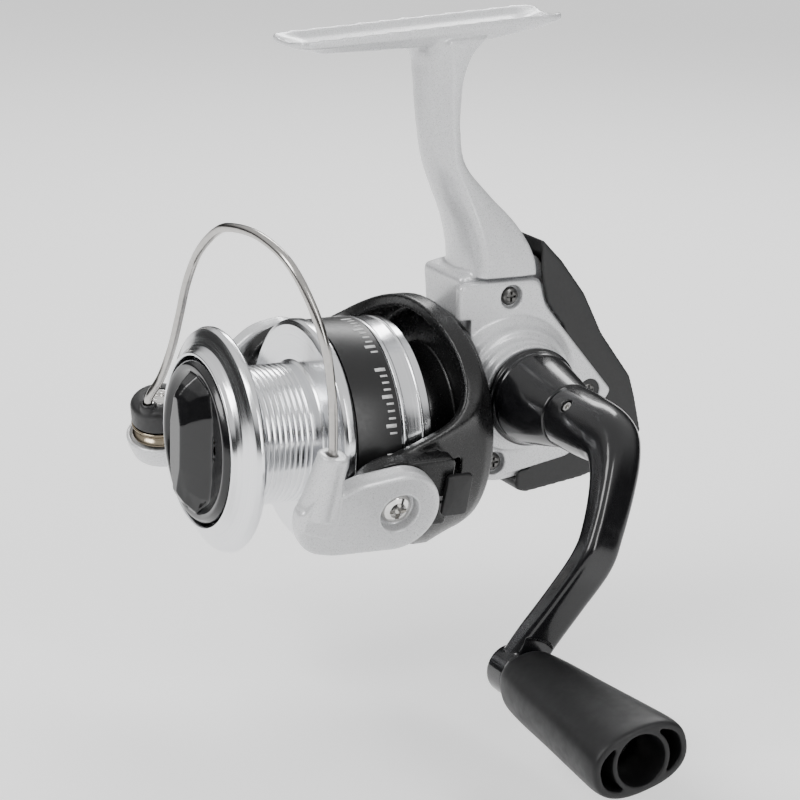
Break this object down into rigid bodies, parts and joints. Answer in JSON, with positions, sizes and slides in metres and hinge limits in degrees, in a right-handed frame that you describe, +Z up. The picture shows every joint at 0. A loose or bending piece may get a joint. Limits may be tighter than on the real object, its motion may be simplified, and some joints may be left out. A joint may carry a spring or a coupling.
{
  "type": "open-face spinning reel",
  "caption": "Open-face spinning reel with rod foot, crank handle, rotor with folding bail and line roller, and a front-drag spool on a sliding shaft.",
  "frame": {"origin": "centre of the flat seat in the foot trough, where the rod rests", "axes": "+X toward the crank handle along the crank axis, -Y toward the front of the spool along the main shaft, +Z up toward the rod, square to the main shaft"},
  "size_m": [0.1387, 0.1018, 0.1247],
  "materials": {
    "pearl_paint": "pearl silver-white gloss paint on aluminium",
    "gloss_black": "gloss black",
    "satin_black": "satin black moulded plastic",
    "matte_black": "matte black grip rubber",
    "aluminium": "bright turned and polished",
    "steel": "ground stainless steel",
    "chrome": "bright plated",
    "dark_steel": "blackened steel",
    "brass": "machined brass",
    "bronze": "bronze tinted, polished",
    "zinc": "die-cast zinc, as cast",
    "felt": "oiled felt",
    "nylon": "natural nylon"
  },
  "bodies": {
    "reel_body": {"body_housing": "pearl_paint", "side_cover": "pearl_paint", "side_cover_screw_1": "dark_steel", "side_cover_screw_2": "dark_steel", "side_cover_screw_3": "dark_steel", "rear_guard": "satin_black", "drive_bearing_right": "steel", "drive_bearing_left": "steel", "pinion_bearing": "steel", "clutch_outer_race": "steel", "clutch_roller_cage": "nylon", "clutch_cover": "satin_black", "pinion_rear_bush": "bronze", "crosswind_guide_rod": "steel", "crosswind_gear_axle": "steel", "shaft_bore_cap": "satin_black"},
    "reverse_lever": {"anti_reverse_lever": "satin_black"},
    "crank": {"drive_gear": "zinc", "crank_shaft": "steel", "crank_collar": "gloss_black", "crank_arm": "gloss_black", "crank_set_screw": "steel", "knob_spindle": "steel"},
    "handle_knob": {"crank_knob": "matte_black"},
    "crosswind_wheel": {"crosswind_gear": "zinc"},
    "rotor_unit": {"rotor": "gloss_black", "pinion_gear": "brass", "clutch_sleeve": "steel", "rotor_nut": "brass", "rotor_nut_lock": "steel", "rotor_nut_lock_screw": "dark_steel", "bail_spring": "steel", "bail_spring_cover": "satin_black", "bail_pivot_screw_near": "chrome", "bail_pivot_screw_far": "chrome"},
    "bail": {"bail_holder": "pearl_paint", "bail_wire": "steel", "bail_lever": "pearl_paint", "line_roller_cap": "satin_black", "line_roller_screw": "chrome", "line_roller_bush": "nylon"},
    "roller": {"line_roller": "bronze"},
    "spool_shaft": {"main_shaft": "steel", "crosswind_block": "zinc", "crosswind_block_screw": "steel", "spool_support": "nylon", "click_ratchet": "steel", "drag_washer_keyed": "steel"},
    "spool_unit": {"spool": "aluminium", "spool_capacity_band": "satin_black", "drag_felt_rear": "felt", "drag_felt_front": "felt", "drag_pressure_plate": "steel", "drag_retaining_ring": "steel", "click_pawl": "nylon"},
    "drag_dial": {"drag_knob": "gloss_black"},
    "drag_thread_nut": {"drag_nut": "brass", "drag_spring": "steel"}
  },
  "joints": [
    {"name": "crank_turn", "type": "hinge", "parent": "reel_body", "child": "crank", "pos_m": [0, 0.01894, -0.07116], "axis": [1, 0, 0], "continuous": true},
    {"name": "handle_knob_spin", "type": "hinge", "parent": "crank", "child": "handle_knob", "pos_m": [0.06, -0.00273, -0.11388], "axis": [1, 0, 0], "continuous": true},
    {"name": "rotor_turn", "type": "hinge", "parent": "reel_body", "child": "rotor_unit", "pos_m": [0, 0.00334, -0.07846], "axis": [0, 1, 0], "continuous": true},
    {"name": "crosswind_gear_turn", "type": "hinge", "parent": "reel_body", "child": "crosswind_wheel", "pos_m": [-0.006, 0.03064, -0.07796], "axis": [1, 0, 0], "continuous": true},
    {"name": "spool_stroke", "type": "slide", "parent": "reel_body", "child": "spool_shaft", "axis": [0, -1, 0], "range_m": [0, 0.01]},
    {"name": "spool_slip", "type": "hinge", "parent": "spool_shaft", "child": "spool_unit", "pos_m": [0, -0.03166, -0.07846], "axis": [0, 1, 0], "continuous": true},
    {"name": "drag_knob_turn", "type": "hinge", "parent": "spool_shaft", "child": "drag_dial", "pos_m": [0, -0.04466, -0.07846], "axis": [0, 1, 0], "range_deg": [-360, 540]},
    {"name": "drag_nut_travel", "type": "slide", "parent": "drag_dial", "child": "drag_thread_nut", "axis": [0, 1, 0], "range_m": [-0.0008, 0.0012], "deforming": ["drag_spring"]},
    {"name": "bail_turn", "type": "hinge", "parent": "rotor_unit", "child": "bail", "pos_m": [0, -0.01696, -0.07846], "axis": [0.9613, 0, -0.2756], "range_deg": [0, 95]},
    {"name": "line_roller_spin", "type": "hinge", "parent": "bail", "child": "roller", "pos_m": [-0.03045, -0.04206, -0.07763], "axis": [0.2696, -0.2079, 0.9403], "continuous": true},
    {"name": "reverse_lever_turn", "type": "hinge", "parent": "reel_body", "child": "reverse_lever", "pos_m": [0, 0.01574, -0.08986], "axis": [1, 0, 0], "range_deg": [0, 25]}
  ],
  "couplings": [
    {"joint": "rotor_turn", "follows": "crank_turn", "ratio": 5},
    {"joint": "crosswind_gear_turn", "follows": "crank_turn", "ratio": -0.5},
    {"joint": "drag_nut_travel", "follows": "drag_knob_turn", "m_per_rad": 0.00011141}
  ]
}
